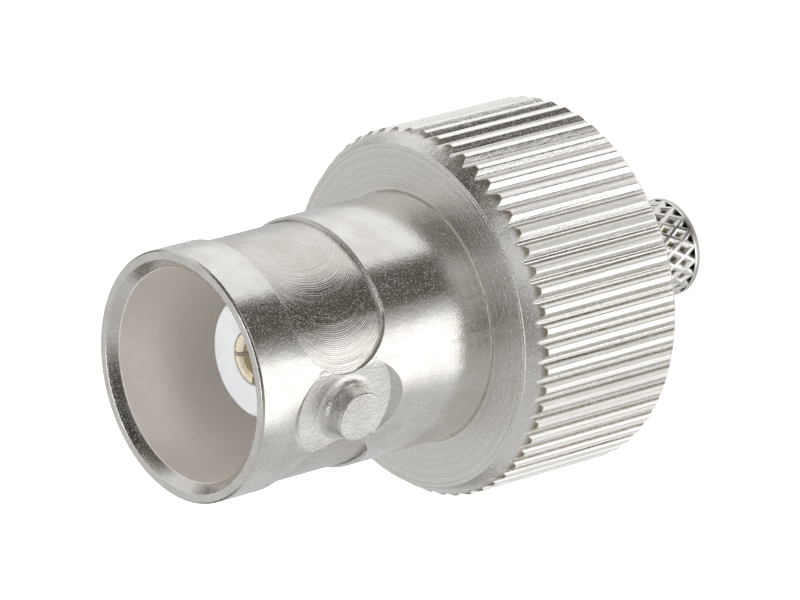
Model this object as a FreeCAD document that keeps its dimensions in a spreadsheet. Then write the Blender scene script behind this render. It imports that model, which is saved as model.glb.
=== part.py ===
"""Crimp cable jack with a two-lug bayonet barrel, modelled as a parametric document.

The jack stands on the end of its crimp neck: the origin is the centre of that end face, +Z runs up the
common axis to the mouth, and the two bayonet lugs point along +X and -X. All sizes are in millimetres.
"""
import FreeCAD, Part

import math
import os
import re

import Sketcher

Vector = FreeCAD.Vector

# Driving dimensions, each with the words that explain it
SIZES = {
    # stack along the axis
    "neck_length": (5.93, "end face of the neck to the back of the collar"),
    "collar_length": (7.4, "back of the collar to its front face"),
    "barrel_length": (11.1, "front face of the collar to the rim of the mouth"),
    "back_wall": (2.6, "back wall of the collar, under the stem's flange"),
    "flange_thickness": (1.2, "flange of the stem, trapped under the barrel's shank"),
    # bayonet barrel
    "barrel_diameter": (9.65, "outside of the barrel and its shank"),
    "barrel_wall": (0.75, "wall of the barrel round the mouth"),
    "mouth_depth": (8.4, "rim to the shoulder where the plug bottoms"),
    "mouth_chamfer": (0.375, "inside chamfer of the mouth"),
    "rim_bevel": (0.08, "broken outer edge of the rim"),
    "ledge_width": (0.825, "shoulder on which the plug bottoms"),
    "web_thickness": (0.6, "thickness of the web that carries the shoulder"),
    "web_lip": (0.25, "part of the web's underside that stops the insulator"),
    # lugs and the pads milled round them
    "lug_diameter": (2.0, "bayonet lug"),
    "lug_rise": (0.675, "tip of a lug above the barrel's surface"),
    "lug_setback": (4.17, "rim to the centre of the lugs"),
    "lug_fillet": (0.35, "round between lug and pad, where the pad leaves room for it"),
    "pad_margin": (0.05, "least flat between that round and the pad's straight edges"),
    "lug_edge": (0.06, "broken edge of the lug tip"),
    "lug_root": (0.2, "depth to which the lug is carried into the wall"),
    "pad_depth": (0.25, "depth of the flat pad below the barrel's surface"),
    "pad_diameter": (4.36, "floor of the pad round the lug"),
    "pad_flare": (0.42, "how much wider each side of the pad is at the barrel's surface"),
    # milled recess between the lugs, on both sides
    "recess_setback": (2.0, "rim to the edge of the recess"),
    "recess_width": (4.3, "width of the recess, which is the cutter's diameter"),
    "recess_depth": (0.16, "depth of the recess"),
    "recess_margin": (43.5, "angle from a lug to the last centre of the cutter"),
    # knurled collar
    "collar_wall": (2.325, "wall of the collar round the barrel, out to the crests of the knurl"),
    "collar_chamfer_width": (0.47, "front chamfer, measured across"),
    "collar_chamfer_length": (0.75, "front chamfer, measured along the axis"),
    "back_chamfer_width": (0.27, "back chamfer, measured across, on which the grooves run out"),
    "back_chamfer_length": (0.3, "back chamfer, measured along the axis"),
    "socket_break": (0.06, "broken edge of the collar's bore, seen as the joint line"),
    "knurl_count": (57, "grooves round the collar"),
    "knurl_depth": (0.235, "depth of a groove"),
    "knurl_angle": (102.0, "angle between the two flanks of a groove"),
    "knurl_turn": (3.48, "angle of the first groove"),
    # crimp stem
    "neck_diameter": (3.81, "over the ridges of the diamond knurl"),
    "neck_wall": (0.38, "ridge of the knurl to the bore for the cable's dielectric"),
    "neck_bore_chamfer": (0.12, "inside chamfer at the end of the neck"),
    "lip_length": (0.32, "plain lip at the end of the neck"),
    "lip_bevel": (0.09, "broken outer edge of the lip"),
    "neck_plain": (0.2, "least plain length of neck behind the collar"),
    "diamond_count": (20, "diamond pits round the neck"),
    "diamond_pitch": (1.07, "height of one diamond along the axis"),
    "diamond_depth": (0.16, "ridge to the bottom of a pit"),
    "diamond_ridge": (0.1, "width of the flat ridge between two pits"),
    "diamond_core": (0.04, "how far the core stays below the pits"),
    "journal_diameter": (6.0, "part of the stem pressed through the back of the collar"),
    "journal_wall": (0.8, "wall of that part, round the space for the contact's tail"),
    "chamber_base": (0.7, "back of the collar to the bottom of that space"),
    # insulators
    "nose_diameter": (4.65, "insulator's nose in the mouth"),
    "nose_setback": (3.45, "rim to the front of the nose and the contact"),
    "nose_chamfer": (0.1, "broken front edge of the nose"),
    "spring_room": (0.08, "room for the slotted end of the contact, all round"),
    "rear_thickness": (1.4, "rear insulator"),
    # centre contact
    "contact_diameter": (2.0, "outside of the socket"),
    "socket_diameter": (1.37, "hole that takes the plug's pin"),
    "socket_depth": (4.6, "depth of that hole"),
    "socket_chamfer": (0.1, "lead-in of that hole"),
    "slot_count": (4, "slots that let the socket spring"),
    "slot_width": (0.18, "width of a slot"),
    "slot_length": (3.0, "length of a slot"),
    "slot_turn": (15.0, "angle of the first slot"),
    "shoulder_diameter": (3.0, "collar on the contact, trapped between the insulators"),
    "shoulder_height": (0.6, "height of that collar"),
    "tail_diameter": (1.8, "tail of the contact"),
    "tail_length": (2.2, "tail below the rear insulator"),
    "cup_diameter": (1.0, "hole that takes the cable's inner wire"),
    "cup_depth": (2.6, "depth of that hole"),
    "sight_diameter": (0.6, "cross hole that shows the wire in the cup"),
    "sight_setback": (0.6, "bottom of the cup to the centre of the cross hole"),
    # room that a cutting tool takes beyond the metal
    "tool_room": (0.6, "overrun of the cutting tools"),
}

doc = FreeCAD.newDocument("crimp_cable_jack")
sheet = doc.addObject("Spreadsheet::Sheet", "sizes")
for row, (alias, (value, meaning)) in enumerate(SIZES.items(), start=1):
    sheet.set(f"A{row}", meaning)
    sheet.set(f"B{row}", str(value))
    sheet.setAlias(f"B{row}", alias)
doc.recompute()


def linked(expression):
    """Return the expression with every size in it read from the sheet."""
    return re.sub("[a-z_]+", lambda word: f"sizes.{word[0]}" if word[0] in SIZES else word[0], expression)


def half(alias):
    """Return the radius that belongs to a diameter."""
    return f"({alias} / 2)"


# Heights above the end face of the neck, as formulas of the driving dimensions
COLLAR_BACK = "neck_length"
COLLAR_FACE = "(neck_length + collar_length)"
RIM = f"({COLLAR_FACE} + barrel_length)"
FLANGE_BOTTOM = "(neck_length + back_wall)"
SEAT = f"({FLANGE_BOTTOM} + flange_thickness)"
SHOULDER = f"({RIM} - mouth_depth)"
WEB_BOTTOM = f"({SHOULDER} - web_thickness)"
LUG_HEIGHT = f"({RIM} - lug_setback)"
NOSE_FACE = f"({RIM} - nose_setback)"
REAR_TOP = f"({SEAT} + rear_thickness)"
CONTACT_SHOULDER = f"({REAR_TOP} - shoulder_height)"
TAIL_BOTTOM = f"({SEAT} - tail_length)"
CHAMBER_BASE = "(neck_length + chamber_base)"
KNURL_ROOM = "(neck_length - lip_length - neck_plain)"
KNURL_TOP = f"(lip_length + floor(2 * {KNURL_ROOM} / diamond_pitch) * diamond_pitch / 2)"

# Radii that follow from the driving dimensions
BARREL = half("barrel_diameter")
MOUTH = f"({BARREL} - barrel_wall)"
WEB = f"({MOUTH} - ledge_width)"
INSULATOR = f"({WEB} + web_lip)"
PAD_FLOOR = f"({BARREL} - pad_depth)"
COLLAR = f"({BARREL} + collar_wall)"
NECK = half("neck_diameter")
NECK_BORE = f"({NECK} - neck_wall)"
JOURNAL = half("journal_diameter")
CHAMBER = f"({JOURNAL} - journal_wall)"


def size(expression):
    """Return the present value of a formula of the driving dimensions."""
    return float(sheet.evalExpression(expression))


def new_body(name):
    """Add an empty body that carries its own name."""
    body = doc.addObject("PartDesign::Body", name)
    body.Label = name
    return body


def origin_plane(body, role):
    """Return one of the body's own origin planes or axes."""
    return next(item for item in body.Origin.OriginFeatures if item.Role == role)


def new_sketch(body, name, role, height="0", turn="0"):
    """Add a sketch on an origin plane, moved up its own vertical and turned by formulas."""
    sketch = body.newObject("Sketcher::SketchObject", name)
    sketch.AttachmentSupport = (origin_plane(body, role), "")
    sketch.MapMode = "FlatFace"
    rise = "Base.y" if role == "XZ_Plane" else "Base.z"
    sketch.setExpression(f"AttachmentOffset.{rise}", linked(height))
    if turn != "0":
        sketch.AttachmentOffset = FreeCAD.Placement(Vector(), FreeCAD.Rotation(Vector(0, 0, 1), size(turn)))
        sketch.setExpression("AttachmentOffset.Rotation.Angle", linked(turn))
    return sketch


def pin_point(sketch, edge, x, y):
    """Hold the start of a sketch edge at a place given by two formulas."""
    for kind, axis, place in (("DistanceX", -2, x), ("DistanceY", -1, y)):
        if place == "0":
            sketch.addConstraint(Sketcher.Constraint("PointOnObject", edge, 1, axis))
        else:
            index = sketch.addConstraint(Sketcher.Constraint(kind, -1, 1, edge, 1, size(place)))
            sketch.setExpression(f"Constraints[{index}]", linked(place))


def draw_outline(sketch, corners):
    """Draw a closed outline of straight edges whose corners are pairs of formulas."""
    places = [Vector(size(x), size(y), 0) for x, y in corners]
    for start, end in zip(places, places[1:] + places[:1]):
        sketch.addGeometry(Part.LineSegment(start, end))
    count = len(corners)
    for edge in range(count):
        sketch.addConstraint(Sketcher.Constraint("Coincident", edge, 2, (edge + 1) % count, 1))
    for edge, (x, y) in enumerate(corners):
        pin_point(sketch, edge, x, y)
    doc.recompute()


def turn_profile(body, name, corners, height="0", axis="V_Axis", cut=False):
    """Turn an outline of radius and height into a solid of revolution, or a groove of it."""
    sketch = new_sketch(body, f"{name}_outline", "XZ_Plane", height)
    draw_outline(sketch, corners)
    feature = body.newObject("PartDesign::Groove" if cut else "PartDesign::Revolution", name)
    feature.Profile = sketch
    feature.ReferenceAxis = (sketch, [axis])
    feature.Angle = 360.0
    doc.recompute()
    return feature


def pattern_round(body, name, originals, count):
    """Repeat features evenly round the main axis and make the pattern the body's tip."""
    pattern = body.newObject("PartDesign::PolarPattern", name)
    pattern.Originals = originals
    pattern.Axis = (origin_plane(body, "Z_Axis"), [""])
    pattern.Angle = 360.0
    pattern.setExpression("Occurrences", linked(count))
    body.Tip = pattern
    doc.recompute()
    return pattern


def round_edges(shape, radius, place, tolerance=1e-4):
    """Return the names of the circular edges of one radius whose centre passes a test."""
    names = []
    for number, edge in enumerate(shape.Edges, start=1):
        is_circle = isinstance(edge.Curve, Part.Circle)
        if is_circle and abs(edge.Curve.Radius - radius) < tolerance and place(edge.Curve.Center):
            names.append(f"Edge{number}")
    return names


def fillet(body, name, base, edges, radius):
    """Round the named edges of a feature."""
    feature = body.newObject("PartDesign::Fillet", name)
    feature.Base = (base, edges)
    feature.setExpression("Radius", linked(radius))
    doc.recompute()
    return feature


# Bayonet barrel: the turned tube with its mouth, the shoulder inside and the shank below
def build_turned_barrel():
    """Turn the barrel and add the two lugs, each on its own milled pad."""
    body = new_body("barrel_with_lugs")
    turn_profile(body, "turned_barrel", [
        (INSULATOR, SEAT),
        (BARREL, SEAT),
        (BARREL, f"{RIM} - rim_bevel"),
        (f"{BARREL} - rim_bevel", RIM),
        (f"{MOUTH} + mouth_chamfer", RIM),
        (MOUTH, f"{RIM} - mouth_chamfer"),
        (MOUTH, SHOULDER),
        (WEB, SHOULDER),
        (WEB, WEB_BOTTOM),
        (INSULATOR, WEB_BOTTOM),
    ])
    tip, pad_radius, lug_radius = f"({BARREL} + lug_rise)", half("pad_diameter"), half("lug_diameter")
    widening = "(pad_flare * (pad_depth + tool_room) / pad_depth)"
    pad = turn_profile(body, "lug_pad", [
        (PAD_FLOOR, "0"),
        (f"{BARREL} + tool_room", "0"),
        (f"{BARREL} + tool_room", f"{pad_radius} + {widening}"),
        (PAD_FLOOR, pad_radius),
    ], height=LUG_HEIGHT, axis="H_Axis", cut=True)
    lug = turn_profile(body, "lug", [
        (f"{PAD_FLOOR} - lug_root", "0"),
        (tip, "0"),
        (tip, f"{lug_radius} - lug_edge"),
        (f"{tip} - lug_edge", lug_radius),
        (f"{PAD_FLOOR} - lug_root", lug_radius),
    ], height=LUG_HEIGHT, axis="H_Axis")
    both = pattern_round(body, "both_lugs", [pad, lug], "2")
    at_floor = size(PAD_FLOOR)
    bases = round_edges(both.Shape, size(lug_radius), lambda centre: abs(abs(centre.x) - at_floor) < 1e-4)
    pad_room = f"(sqrt({BARREL}^2 - {PAD_FLOOR}^2) - {lug_radius} - pad_margin)"
    fillet(body, "lug_bases", both, bases, f"min(lug_fillet; {pad_room})")
    return body


# Milled recess: the work turns under the cutter, so the floor is round and the ends are the cutter's
def build_recess_cutter(name, facing):
    """Make the space that the cutter sweeps on one side of the barrel, its floor at one radius."""
    reach, bottom = f"({BARREL} + tool_room)", f"({RIM} - recess_setback - recess_width)"
    sweep = "(180 - 2 * recess_margin)"
    sector = doc.addObject("Part::Cylinder", f"{name}_sector")
    sector.setExpression("Radius", linked(reach))
    sector.setExpression("Height", linked("recess_width"))
    sector.setExpression("Angle", linked(sweep))
    sector.Placement.Rotation = FreeCAD.Rotation(Vector(0, 0, 1), facing - size(sweep) / 2)
    sector.setExpression("Placement.Base.z", linked(bottom))
    pieces = [sector]
    for side in (-1, 1):
        end = doc.addObject("Part::Cylinder", f"{name}_end_{len(pieces)}")
        end.setExpression("Radius", linked(half("recess_width")))
        end.setExpression("Height", linked(reach))
        spin = FreeCAD.Rotation(Vector(0, 0, 1), facing + side * size(sweep) / 2)
        end.Placement.Rotation = spin * FreeCAD.Rotation(Vector(0, 1, 0), 90)
        end.setExpression("Placement.Base.z", linked(f"{bottom} + recess_width / 2"))
        pieces.append(end)
    swept = doc.addObject("Part::MultiFuse", f"{name}_swept")
    swept.Shapes = pieces
    core = doc.addObject("Part::Cylinder", f"{name}_core")
    core.setExpression("Radius", linked(f"{BARREL} - recess_depth"))
    core.setExpression("Height", linked(RIM))
    cutter = doc.addObject("Part::Cut", name)
    cutter.Base, cutter.Tool = swept, core
    return cutter


def build_bayonet_barrel():
    """Mill the recess into both sides of the barrel."""
    barrel = build_turned_barrel()
    cutters = doc.addObject("Part::MultiFuse", "recess_cutters")
    cutters.Shapes = [build_recess_cutter("recess_front", -90), build_recess_cutter("recess_back", 90)]
    milled = doc.addObject("Part::Cut", "bayonet_barrel")
    milled.Base, milled.Tool = barrel, cutters
    return milled


# Knurled collar: the grip ring into which the barrel is pressed from the front and the stem from inside
def build_knurled_collar():
    """Turn the collar and cut the straight knurl, whose grooves run out on both chamfers."""
    body = new_body("knurled_collar")
    turn_profile(body, "turned_collar", [
        (JOURNAL, COLLAR_BACK),
        (f"{COLLAR} - back_chamfer_width", COLLAR_BACK),
        (COLLAR, f"{COLLAR_BACK} + back_chamfer_length"),
        (COLLAR, f"{COLLAR_FACE} - collar_chamfer_length"),
        (f"{COLLAR} - collar_chamfer_width", COLLAR_FACE),
        (f"{BARREL} + socket_break", COLLAR_FACE),
        (BARREL, f"{COLLAR_FACE} - socket_break"),
        (BARREL, FLANGE_BOTTOM),
        (JOURNAL, FLANGE_BOTTOM),
    ])
    sketch = new_sketch(body, "groove_outline", "XY_Plane", turn="knurl_turn")
    half_width = "(knurl_depth + tool_room) * tan(knurl_angle / 2)"
    draw_outline(sketch, [
        (f"{COLLAR} - knurl_depth", "0"),
        (f"{COLLAR} + tool_room", f"-1 * {half_width}"),
        (f"{COLLAR} + tool_room", half_width),
    ])
    groove = body.newObject("PartDesign::Pocket", "knurl_groove")
    groove.Profile = sketch
    groove.Type = "Length"
    groove.setExpression("Length", linked(RIM))
    groove.Reversed = True
    doc.recompute()
    pattern_round(body, "straight_knurl", [groove], "knurl_count")
    return body


# Crimp stem: each diamond of its knurl is a pit with four flat walls, set between crossing ridges
def diamond_knurl():
    """Return the solid of the diamond knurl, a net of flat ridges round pits, from the lip up."""
    count, crest = int(size("diamond_count")), size(NECK)
    half_column, half_row = math.pi / count, size("diamond_pitch / 2")
    half_width, bottom = crest * half_column, size("lip_length")
    rows = round(size(f"{KNURL_TOP} - lip_length") / half_row)
    centre_to_side = half_row * half_width / math.hypot(half_row, half_width)
    opening = 1 - size("diamond_ridge") / 2 / centre_to_side
    flank = crest * math.cos(half_column / 2) / math.cos(half_column * (opening - 0.5))

    def at(column, row, radius):
        """Return the point of the knurl's net at a half column and a half row."""
        angle = half_column * column
        return Vector(radius * math.cos(angle), radius * math.sin(angle), bottom + row * half_row)

    faces, ends = [], {0: [], rows: []}
    for row in range(rows + 1):
        for column in range(row % 2, 2 * count, 2):
            pit = at(column, row, crest - size("diamond_depth"))
            left, right = at(column - opening, row, flank), at(column + opening, row, flank)
            following = at(column + 2 - opening, row, flank)
            for side in (-1, 1):
                if not 0 <= row + side <= rows:
                    continue
                tip = at(column, row + side * opening, crest)
                crossing = at(column + 1, row + side * (1 - opening), crest)
                beside = at(column + 1 - opening, row + side, flank)
                faces += [(left, tip, pit), (tip, right, pit)]
                faces += [(tip, beside, crossing, right), (right, crossing, following)]
            if row in ends:
                ends[row] += [left, pit, right]
    shell = Part.Shell([Part.Face(Part.makePolygon([*ring, ring[0]])) for ring in [*faces, *ends.values()]])
    shell.sewShape()
    solid = Part.Solid(shell)
    if solid.Volume < 0:
        solid.reverse()
    return solid


def build_crimp_stem():
    """Turn the stem, join the diamond knurl to its neck and bore it through."""
    outer = new_body("stem_outside")
    core = f"({NECK} - diamond_depth - diamond_core)"
    turn_profile(outer, "turned_stem", [
        ("0", "0"),
        (f"{NECK} - lip_bevel", "0"),
        (NECK, "lip_bevel"),
        (NECK, "lip_length"),
        (core, "lip_length"),
        (core, KNURL_TOP),
        (NECK, KNURL_TOP),
        (NECK, COLLAR_BACK),
        (JOURNAL, COLLAR_BACK),
        (JOURNAL, FLANGE_BOTTOM),
        (BARREL, FLANGE_BOTTOM),
        (BARREL, SEAT),
        ("0", SEAT),
    ])
    knurl = doc.addObject("Part::Feature", "diamond_knurl")
    knurl.Shape = diamond_knurl()
    blank = doc.addObject("Part::MultiFuse", "stem_blank")
    blank.Shapes = [outer, knurl]
    bore = new_body("stem_bore")
    turn_profile(bore, "bored_space", [
        ("0", "-1 * tool_room"),
        (f"{NECK_BORE} + neck_bore_chamfer + tool_room", "-1 * tool_room"),
        (NECK_BORE, "neck_bore_chamfer"),
        (NECK_BORE, CHAMBER_BASE),
        (CHAMBER, CHAMBER_BASE),
        (CHAMBER, f"{SEAT} + tool_room"),
        ("0", f"{SEAT} + tool_room"),
    ])
    stem = doc.addObject("Part::Cut", "crimp_stem")
    stem.Base, stem.Tool = blank, bore
    return stem


# Front insulator: its nose stands in the mouth, its base is trapped below the barrel's shoulder
def build_front_insulator():
    """Turn the front insulator with a hole for the contact, wider where the contact springs."""
    body = new_body("front_insulator")
    nose, hole = half("nose_diameter"), half("contact_diameter")
    turn_profile(body, "turned_front_insulator", [
        (hole, REAR_TOP),
        (INSULATOR, REAR_TOP),
        (INSULATOR, WEB_BOTTOM),
        (nose, WEB_BOTTOM),
        (nose, f"{NOSE_FACE} - nose_chamfer"),
        (f"{nose} - nose_chamfer", NOSE_FACE),
        (f"{hole} + spring_room", NOSE_FACE),
        (f"{hole} + spring_room", f"{NOSE_FACE} - slot_length"),
        (hole, f"{NOSE_FACE} - slot_length"),
    ])
    return body


def build_rear_insulator():
    """Turn the rear insulator, which backs the contact's shoulder and rests on the stem's flange."""
    body = new_body("rear_insulator")
    turn_profile(body, "turned_rear_insulator", [
        (half("tail_diameter"), SEAT),
        (INSULATOR, SEAT),
        (INSULATOR, REAR_TOP),
        (half("shoulder_diameter"), REAR_TOP),
        (half("shoulder_diameter"), CONTACT_SHOULDER),
        (half("tail_diameter"), CONTACT_SHOULDER),
    ])
    return body


# Socket contact: slotted for the plug's pin at the top, with a cup for the cable's inner wire below
def build_socket_contact():
    """Turn the contact, slot its socket and drill the sight hole of its cup."""
    body = new_body("socket_contact")
    outside, socket = half("contact_diameter"), half("socket_diameter")
    tail, shoulder = half("tail_diameter"), half("shoulder_diameter")
    cup_top = f"({TAIL_BOTTOM} + cup_depth)"
    turn_profile(body, "turned_contact", [
        ("0", cup_top),
        (half("cup_diameter"), cup_top),
        (half("cup_diameter"), TAIL_BOTTOM),
        (tail, TAIL_BOTTOM),
        (tail, CONTACT_SHOULDER),
        (shoulder, CONTACT_SHOULDER),
        (shoulder, REAR_TOP),
        (outside, REAR_TOP),
        (outside, NOSE_FACE),
        (f"{socket} + socket_chamfer", NOSE_FACE),
        (socket, f"{NOSE_FACE} - socket_chamfer"),
        (socket, f"{NOSE_FACE} - socket_depth"),
        ("0", f"{NOSE_FACE} - socket_depth"),
    ])
    sight_outline = new_sketch(body, "sight_outline", "XZ_Plane", height=f"{cup_top} - sight_setback")
    sight_outline.addGeometry(Part.Circle(Vector(), Vector(0, 0, 1), size(half("sight_diameter"))))
    sight_outline.addConstraint(Sketcher.Constraint("Coincident", 0, 3, -1, 1))
    index = sight_outline.addConstraint(Sketcher.Constraint("Radius", 0, size(half("sight_diameter"))))
    sight_outline.setExpression(f"Constraints[{index}]", linked(half("sight_diameter")))
    sight = body.newObject("PartDesign::Pocket", "sight_hole")
    sight.Profile = sight_outline
    sight.Type = "Length"
    sight.setExpression("Length", linked(f"{tail} + tool_room"))
    doc.recompute()
    slot_outline = new_sketch(body, "slot_outline", "XY_Plane", f"{NOSE_FACE} - slot_length", "slot_turn")
    draw_outline(slot_outline, [
        ("0", "-1 * slot_width / 2"),
        (f"{outside} + tool_room", "-1 * slot_width / 2"),
        (f"{outside} + tool_room", "slot_width / 2"),
        ("0", "slot_width / 2"),
    ])
    slot = body.newObject("PartDesign::Pocket", "socket_slot")
    slot.Profile = slot_outline
    slot.Type = "Length"
    slot.setExpression("Length", linked("slot_length + tool_room"))
    slot.Reversed = True
    doc.recompute()
    pattern_round(body, "socket_slots", [slot], "slot_count")
    return body


def check_document(pieces):
    """Stop if any object failed or any piece is not one valid solid."""
    failed = [item.Name for item in doc.Objects if {"Invalid", "Error"} & set(item.State)]
    if failed:
        raise RuntimeError(f"these objects did not compute: {failed}")
    for piece in pieces:
        shape = piece.Shape
        if shape.isNull() or not shape.isValid() or len(shape.Solids) != 1:
            raise RuntimeError(f"{piece.Label} is not one valid solid")


def main():
    """Build every piece, check them all and write one file for each."""
    pieces = [
        build_bayonet_barrel(),
        build_knurled_collar(),
        build_crimp_stem(),
        build_front_insulator(),
        build_rear_insulator(),
        build_socket_contact(),
    ]
    doc.recompute()
    check_document(pieces)
    os.makedirs("parts", exist_ok=True)
    for piece in pieces:
        piece.Shape.exportStep(f"parts/{piece.Label}.step")
        print(f"{piece.Label}: {piece.Shape.Volume:.2f} cubic mm, {len(piece.Shape.Faces)} faces")


main()
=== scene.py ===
"""Looks of a crimp cable jack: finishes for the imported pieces, the studio that lights them and the camera.

The frame is the CAD's own, in metres: the jack stands on the end of its crimp neck, +Z runs up its axis to
the mouth, and the two bayonet lugs point along +X and -X. Finishes and roundings count in millimetres.
"""
import logging
import math
from dataclasses import dataclass, field
from enum import Enum
from typing import NamedTuple

import bmesh
import bpy
from mathutils import Matrix, Vector


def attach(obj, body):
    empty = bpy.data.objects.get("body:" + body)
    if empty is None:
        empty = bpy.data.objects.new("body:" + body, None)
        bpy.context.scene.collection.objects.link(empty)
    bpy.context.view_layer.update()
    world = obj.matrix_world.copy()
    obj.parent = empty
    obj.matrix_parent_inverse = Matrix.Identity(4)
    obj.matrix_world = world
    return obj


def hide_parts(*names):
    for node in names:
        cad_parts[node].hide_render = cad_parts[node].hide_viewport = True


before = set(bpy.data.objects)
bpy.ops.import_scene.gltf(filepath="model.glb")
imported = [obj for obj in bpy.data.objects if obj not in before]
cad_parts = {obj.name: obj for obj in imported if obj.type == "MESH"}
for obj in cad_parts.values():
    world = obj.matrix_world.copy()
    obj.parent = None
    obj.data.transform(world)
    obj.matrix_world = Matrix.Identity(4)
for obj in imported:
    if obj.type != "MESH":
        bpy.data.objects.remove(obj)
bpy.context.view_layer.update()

LOG = logging.getLogger("crimp_cable_jack")
MM = 0.001
FULL_TURN = 2.0 * math.pi
BODY = "root"

Socket = bpy.types.NodeSocket
Feed = Socket | float
Colour = tuple[float, float, float, float]
Span = tuple[float, float]
Stops = tuple[Span, ...]


class Kind(Enum):
    """Kinds of socket that the shared groups use."""

    NUMBER = "NodeSocketFloat"
    PLACE = "NodeSocketVector"


class Noise(Enum):
    """Where noise is read, and the input that takes the place."""

    ALONG = ("1D", "W")
    IN_SPACE = ("3D", "Vector")


class Mixed(Enum):
    """What a blend mixes: the node's type of data, and the type of its sockets."""

    NUMBERS = ("FLOAT", "VALUE")
    COLOURS = ("RGBA", "RGBA")


class NodeDesk:
    """Adds nodes to one tree and links them, so that a formula reads as one."""

    def __init__(self, tree: bpy.types.NodeTree) -> None:
        """Start with the tree that gets the nodes."""
        self.tree = tree

    def add(self, kind: str, **settings: object) -> bpy.types.Node:
        """Add a node and set its own options.

        Args:
            kind: the node's class, without "ShaderNode".
            settings: options of the node.

        Returns:
            The new node.
        """
        node = self.tree.nodes.new(f"ShaderNode{kind}")
        for name, value in settings.items():
            setattr(node, name, value)
        return node

    def feed(self, target: Socket, source: Feed | Colour) -> None:
        """Link a socket into another, or set a plain value on it.

        Args:
            target: the input socket.
            source: a socket to link, or the value itself.
        """
        if isinstance(source, bpy.types.NodeSocket):
            self.tree.links.new(source, target)
        else:
            target.default_value = source

    def math(self, operation: str, first: Feed, second: Feed = 0.0, third: Feed = 0.0) -> Socket:
        """Do one sum on numbers.

        Args:
            operation: the Math node's name of the sum.
            first: first number.
            second: second number, where the sum has one.
            third: third number, where the sum has one.

        Returns:
            The result.
        """
        node = self.add("Math", operation=operation)
        for target, source in zip(node.inputs, (first, second, third)):
            self.feed(target, source)
        return node.outputs[0]

    def plus(self, first: Feed, second: Feed) -> Socket:
        """Add two numbers."""
        return self.math("ADD", first, second)

    def minus(self, first: Feed, second: Feed) -> Socket:
        """Take the second number from the first."""
        return self.math("SUBTRACT", first, second)

    def over(self, first: Feed, second: Feed) -> Socket:
        """Divide the first number by the second."""
        return self.math("DIVIDE", first, second)

    def times(self, first: Feed, *others: Feed) -> Socket:
        """Multiply numbers, from the first to the last.

        Args:
            first: first number.
            others: the numbers that follow.

        Returns:
            The product.
        """
        for other in others:
            first = self.math("MULTIPLY", first, other)
        return first

    def times_plus(self, first: Feed, second: Feed, third: Feed) -> Socket:
        """Multiply the first two numbers and add the third."""
        return self.math("MULTIPLY_ADD", first, second, third)

    def rest(self, share: Feed) -> Socket:
        """Give what a share leaves of 1."""
        return self.math("SUBTRACT", 1.0, share)

    def larger(self, first: Feed, second: Feed) -> Socket:
        """Give the larger of two numbers."""
        return self.math("MAXIMUM", first, second)

    def size(self, number: Feed) -> Socket:
        """Give a number without its sign."""
        return self.math("ABSOLUTE", number)

    def step(self, value: Feed, start: Feed, end: Feed) -> Socket:
        """Rise smoothly from 0 to 1 while the value goes from start to end.

        Args:
            value: the number that is looked at.
            start: where the result is 0.
            end: where the result is 1.

        Returns:
            The smooth step.
        """
        node = self.add("MapRange", interpolation_type="SMOOTHSTEP")
        for name, source in (("Value", value), ("From Min", start), ("From Max", end)):
            self.feed(node.inputs[name], source)
        return node.outputs["Result"]

    def past(self, value: Feed, edge: float, fade: Span) -> Socket:
        """Mark the zone past an edge.

        Args:
            value: the number that is looked at.
            edge: where the zone's edge is.
            fade: how far from the edge the zone starts and is full. Falling numbers mark what is below.

        Returns:
            The mask, 1 in the zone.
        """
        start, full = fade
        return self.step(value, edge + start, edge + full)

    def noise(self, place: Feed, scale: Feed, detail: float, kind: Noise = Noise.IN_SPACE) -> Socket:
        """Make soft noise around 0.5.

        Args:
            place: where the noise is read.
            scale: how many times it changes in one unit.
            detail: how many finer layers it has.
            kind: along a line, or in space.

        Returns:
            The noise as a number.
        """
        dimensions, place_input = kind.value
        node = self.add("TexNoise", noise_dimensions=dimensions)
        self.feed(node.inputs[place_input], place)
        self.feed(node.inputs["Scale"], scale)
        node.inputs["Detail"].default_value = detail
        return node.outputs["Fac"]

    def blend(
        self, share: Feed, first: Feed | Colour, second: Feed | Colour, mixed: Mixed = Mixed.NUMBERS
    ) -> Socket:
        """Blend two numbers or two colours.

        Args:
            share: 0 gives the first and 1 the second.
            first: what share 0 gives.
            second: what share 1 gives.
            mixed: numbers or colours.

        Returns:
            The blended value.
        """
        data, wanted = mixed.value
        node = self.add("Mix", data_type=data)
        first_in, second_in = [s for s in node.inputs if s.name in ("A", "B") and s.type == wanted]
        self.feed(node.inputs["Factor"], share)
        self.feed(first_in, first)
        self.feed(second_in, second)
        return next(s for s in node.outputs if s.type == wanted)

    def tint(self, share: Feed, first: Socket | Colour, second: Socket | Colour) -> Socket:
        """Blend two colours."""
        return self.blend(share, first, second, Mixed.COLOURS)

    def ramp(self, share: Feed, stops: Stops) -> Socket:
        """Turn a number into a grey by a list of stops.

        Args:
            share: the number, from 0 to 1.
            stops: pairs of place and grey, in rising order of place.

        Returns:
            The grey as a colour.
        """
        node = self.add("ValToRGB")
        elements = node.color_ramp.elements
        while len(elements) < len(stops):
            elements.new(0.5)
        for element, (place, grey) in zip(elements, stops):
            element.position = place
            element.color = (grey, grey, grey, 1.0)
        self.feed(node.inputs["Fac"], share)
        return node.outputs["Color"]


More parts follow.
